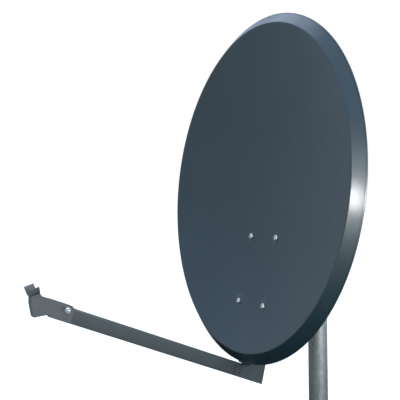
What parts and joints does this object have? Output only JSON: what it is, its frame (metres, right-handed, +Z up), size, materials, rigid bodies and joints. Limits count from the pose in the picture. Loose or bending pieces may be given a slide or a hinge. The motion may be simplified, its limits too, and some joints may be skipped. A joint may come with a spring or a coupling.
{
  "type": "satellite dish",
  "caption": "Offset satellite dish: pressed oval reflector with turned-back rim, feed arm with saddle holder, and an azimuth-elevation clamp bracket on a round mast.",
  "frame": {"origin": "centre of the mast's lower end", "axes": "+Z up the mast, -Y the way the dish faces, +X to the right seen from the front"},
  "size_m": [0.85, 0.8581, 1.1372],
  "materials": {
    "reflector_paint": "satin anthracite powder coat",
    "arm_paint": "satin anthracite powder coat",
    "holder_plastic": "moulded, matt grey",
    "galvanised_steel": "hot-dip galvanised, weathered dull",
    "zinc_steel": "bright zinc plated",
    "black_plastic": "matt black"
  },
  "bodies": {
    "mast": {"mast": "galvanised_steel", "mast_cap": "black_plastic"},
    "bracket": {"mast_bracket": "galvanised_steel", "front_jaw_lower": "zinc_steel", "front_jaw_upper": "zinc_steel", "rear_jaw_lower": "zinc_steel", "rear_jaw_upper": "zinc_steel", "clamp_bolt_lower_left": "zinc_steel", "clamp_bolt_lower_right": "zinc_steel", "clamp_bolt_upper_left": "zinc_steel", "clamp_bolt_upper_right": "zinc_steel", "clamp_nut_lower_left": "zinc_steel", "clamp_nut_lower_right": "zinc_steel", "clamp_nut_upper_left": "zinc_steel", "clamp_nut_upper_right": "zinc_steel", "pivot_bolt": "zinc_steel", "pivot_nut": "zinc_steel", "lock_bolt_left": "zinc_steel", "lock_bolt_right": "zinc_steel", "lock_washer_left": "zinc_steel", "lock_washer_right": "zinc_steel", "lock_nut_left": "zinc_steel", "lock_nut_right": "zinc_steel"},
    "dish": {"reflector": "reflector_paint", "reflector_bolt_lower_left": "zinc_steel", "reflector_bolt_lower_right": "zinc_steel", "reflector_bolt_upper_left": "zinc_steel", "reflector_bolt_upper_right": "zinc_steel", "reflector_nut_lower_left": "zinc_steel", "reflector_nut_lower_right": "zinc_steel", "reflector_nut_upper_left": "zinc_steel", "reflector_nut_upper_right": "zinc_steel", "back_support": "galvanised_steel", "foot_bracket": "arm_paint", "foot_bolt_lower_left": "zinc_steel", "foot_bolt_lower_right": "zinc_steel", "foot_bolt_upper_left": "zinc_steel", "foot_bolt_upper_right": "zinc_steel", "foot_nut_lower_left": "zinc_steel", "foot_nut_lower_right": "zinc_steel", "foot_nut_upper_left": "zinc_steel", "foot_nut_upper_right": "zinc_steel", "arm_tube": "arm_paint", "arm_plug": "black_plastic", "arm_screw_front": "zinc_steel", "arm_screw_rear": "zinc_steel", "arm_nut_front": "zinc_steel", "arm_nut_rear": "zinc_steel", "holder_bolt": "zinc_steel", "holder_nut": "zinc_steel", "holder_washer_left": "zinc_steel", "holder_washer_right": "zinc_steel"},
    "holder": {"lnb_holder": "holder_plastic"}
  },
  "joints": [
    {"name": "azimuth", "type": "hinge", "parent": "mast", "child": "bracket", "pos_m": [0, 0, 0.49], "axis": [0, 0, 1], "continuous": true},
    {"name": "elevation", "type": "hinge", "parent": "bracket", "child": "dish", "pos_m": [0, -0.105, 0.49], "axis": [-1, 0, 0], "range_deg": [-14.1, 20.8]},
    {"name": "focus_slide", "type": "slide", "parent": "dish", "child": "holder", "axis": [0, 0.9254, -0.3791], "range_m": [0, 0.0145]}
  ]
}
